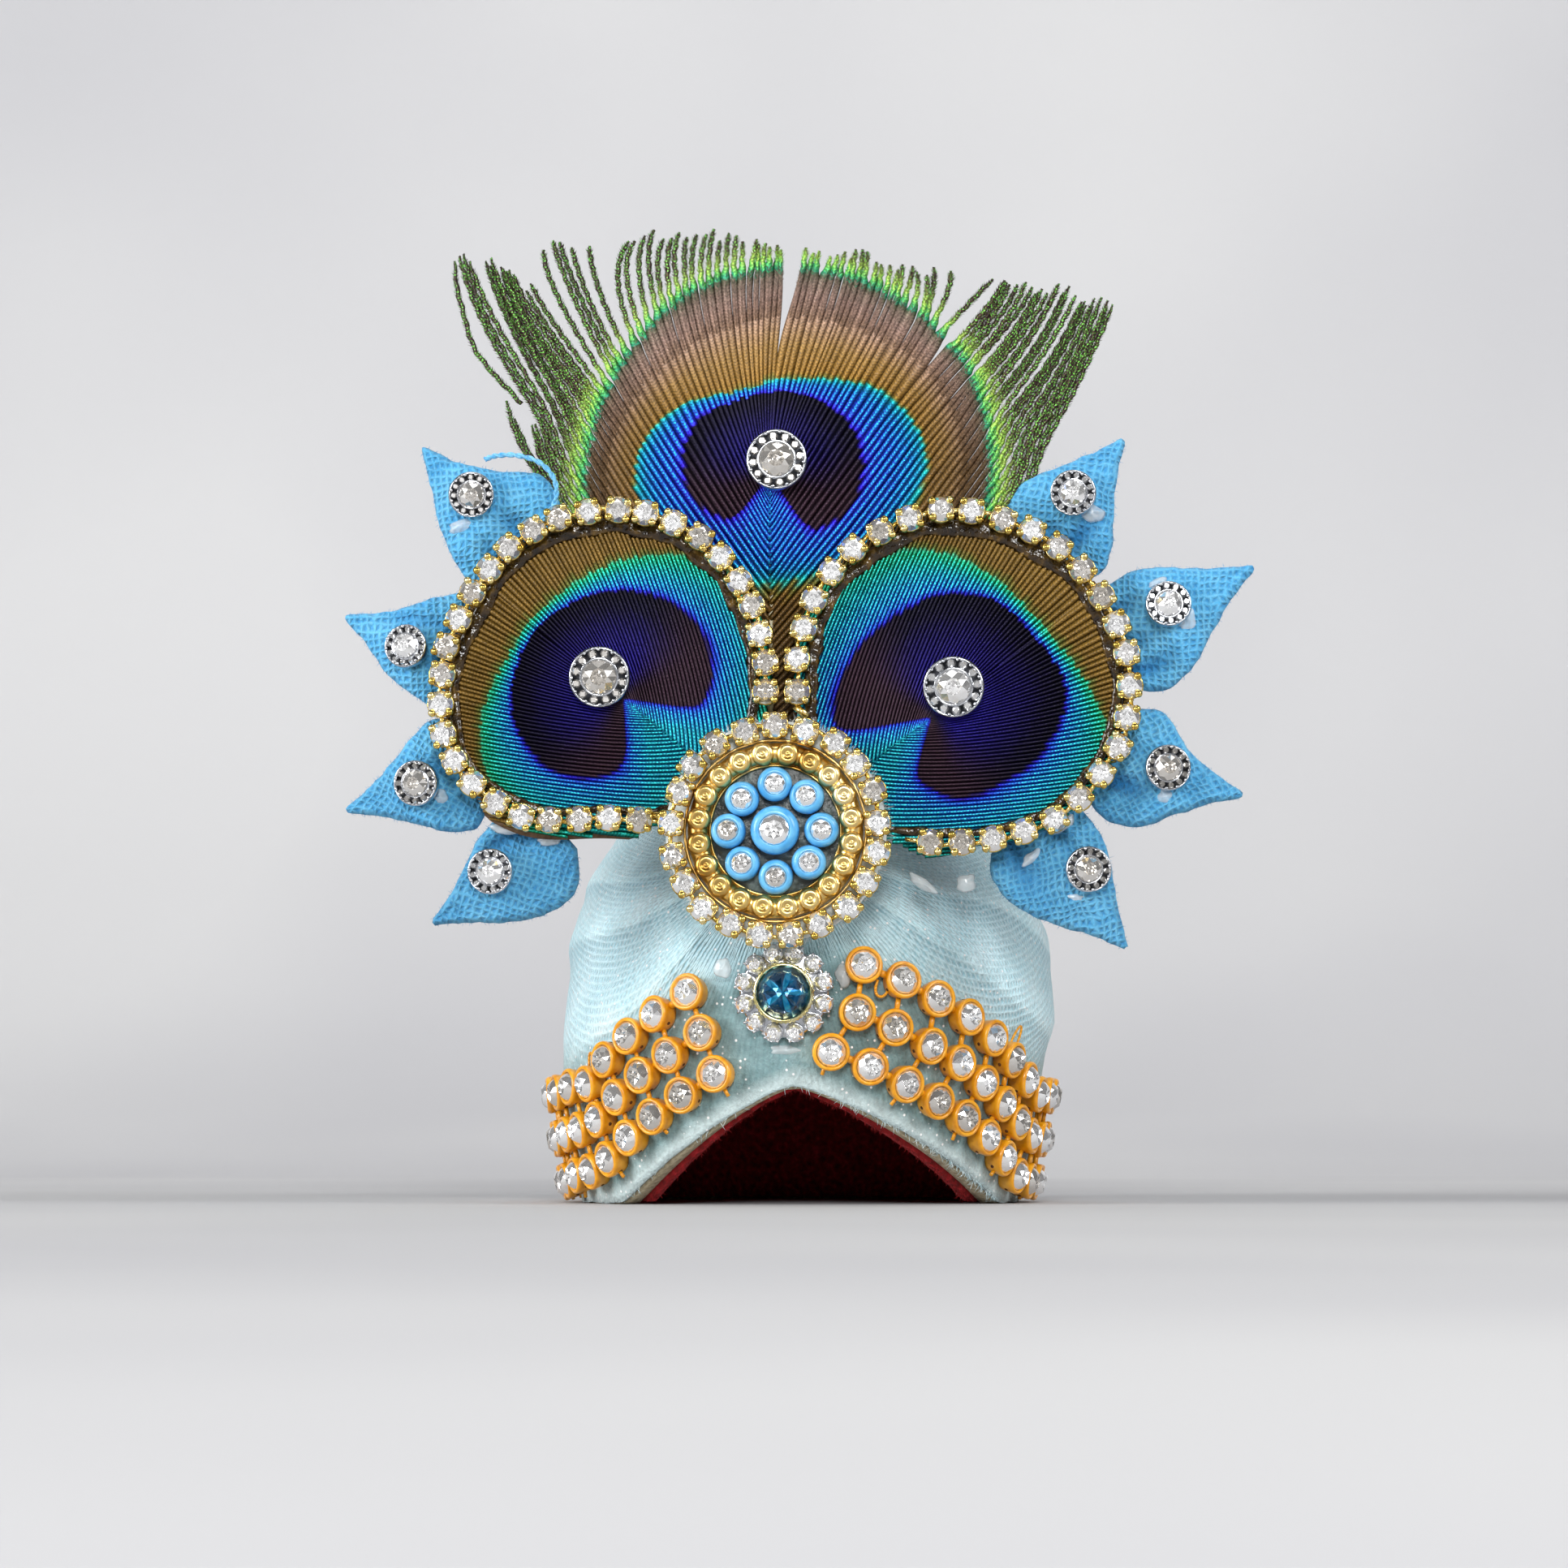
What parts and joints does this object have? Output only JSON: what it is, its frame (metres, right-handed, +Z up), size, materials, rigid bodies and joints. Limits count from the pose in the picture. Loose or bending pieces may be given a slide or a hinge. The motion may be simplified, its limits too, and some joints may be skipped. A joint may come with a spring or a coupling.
{
  "type": "deity crown",
  "caption": "Small crown for a deity figure: an arched cloth cap with stone rows, and a flat front of peacock feather eyes, cloth petals, stone chains, a round brooch and a pendant.",
  "frame": {"origin": "middle of the bottom of the crown's bounding box, on the surface that its rim stands on", "axes": "+Z up, the ornament faces -Y, +X to the right seen from the front"},
  "size_m": [0.0828, 0.061, 0.0897],
  "materials": {
    "cap_net": "fine net over felt",
    "lining_felt": "fuzzy felt",
    "cup_plastic": "satin, with clear cut stones",
    "fan_feather": "iridescent barbs",
    "eye_feather": "iridescent barbs",
    "chain_stones": "cut stones in gilt cups",
    "petal_cotton": "open weave",
    "stud_acrylic": "foil backed",
    "brooch_felt": "matt",
    "bead_metal": "thin stamped alloy, bright gilt",
    "flower_plastic": "gloss, with clear stones",
    "pendant_metal": "thin stamped alloy, pale gilt",
    "pendant_glass": "cut and foil backed"
  },
  "bodies": {
    "root": {"band_row_lower": "cup_plastic", "band_row_middle": "cup_plastic", "band_row_upper": "cup_plastic", "brooch_base": "brooch_felt", "brooch_bead_ring": "bead_metal", "brooch_chain": "chain_stones", "cap_lining": "lining_felt", "cap_shell": "cap_net", "chain_left": "chain_stones", "chain_right": "chain_stones", "eye_stud_left": "stud_acrylic", "eye_stud_right": "stud_acrylic", "eye_stud_top": "stud_acrylic", "feather_eye_left": "eye_feather", "feather_eye_right": "eye_feather", "feather_fan": "fan_feather", "flower_center_stone": "flower_plastic", "flower_stone_1": "flower_plastic", "flower_stone_2": "flower_plastic", "flower_stone_3": "flower_plastic", "flower_stone_4": "flower_plastic", "flower_stone_5": "flower_plastic", "flower_stone_6": "flower_plastic", "flower_stone_7": "flower_plastic", "flower_stone_8": "flower_plastic", "pendant_setting": "pendant_metal", "pendant_stone": "pendant_glass", "petal_left_1": "petal_cotton", "petal_left_2": "petal_cotton", "petal_left_3": "petal_cotton", "petal_left_4": "petal_cotton", "petal_right_1": "petal_cotton", "petal_right_2": "petal_cotton", "petal_right_3": "petal_cotton", "petal_right_4": "petal_cotton", "petal_stud_left_1": "stud_acrylic", "petal_stud_left_2": "stud_acrylic", "petal_stud_left_3": "stud_acrylic", "petal_stud_left_4": "stud_acrylic", "petal_stud_right_1": "stud_acrylic", "petal_stud_right_2": "stud_acrylic", "petal_stud_right_3": "stud_acrylic", "petal_stud_right_4": "stud_acrylic"}
  },
  "joints": []
}
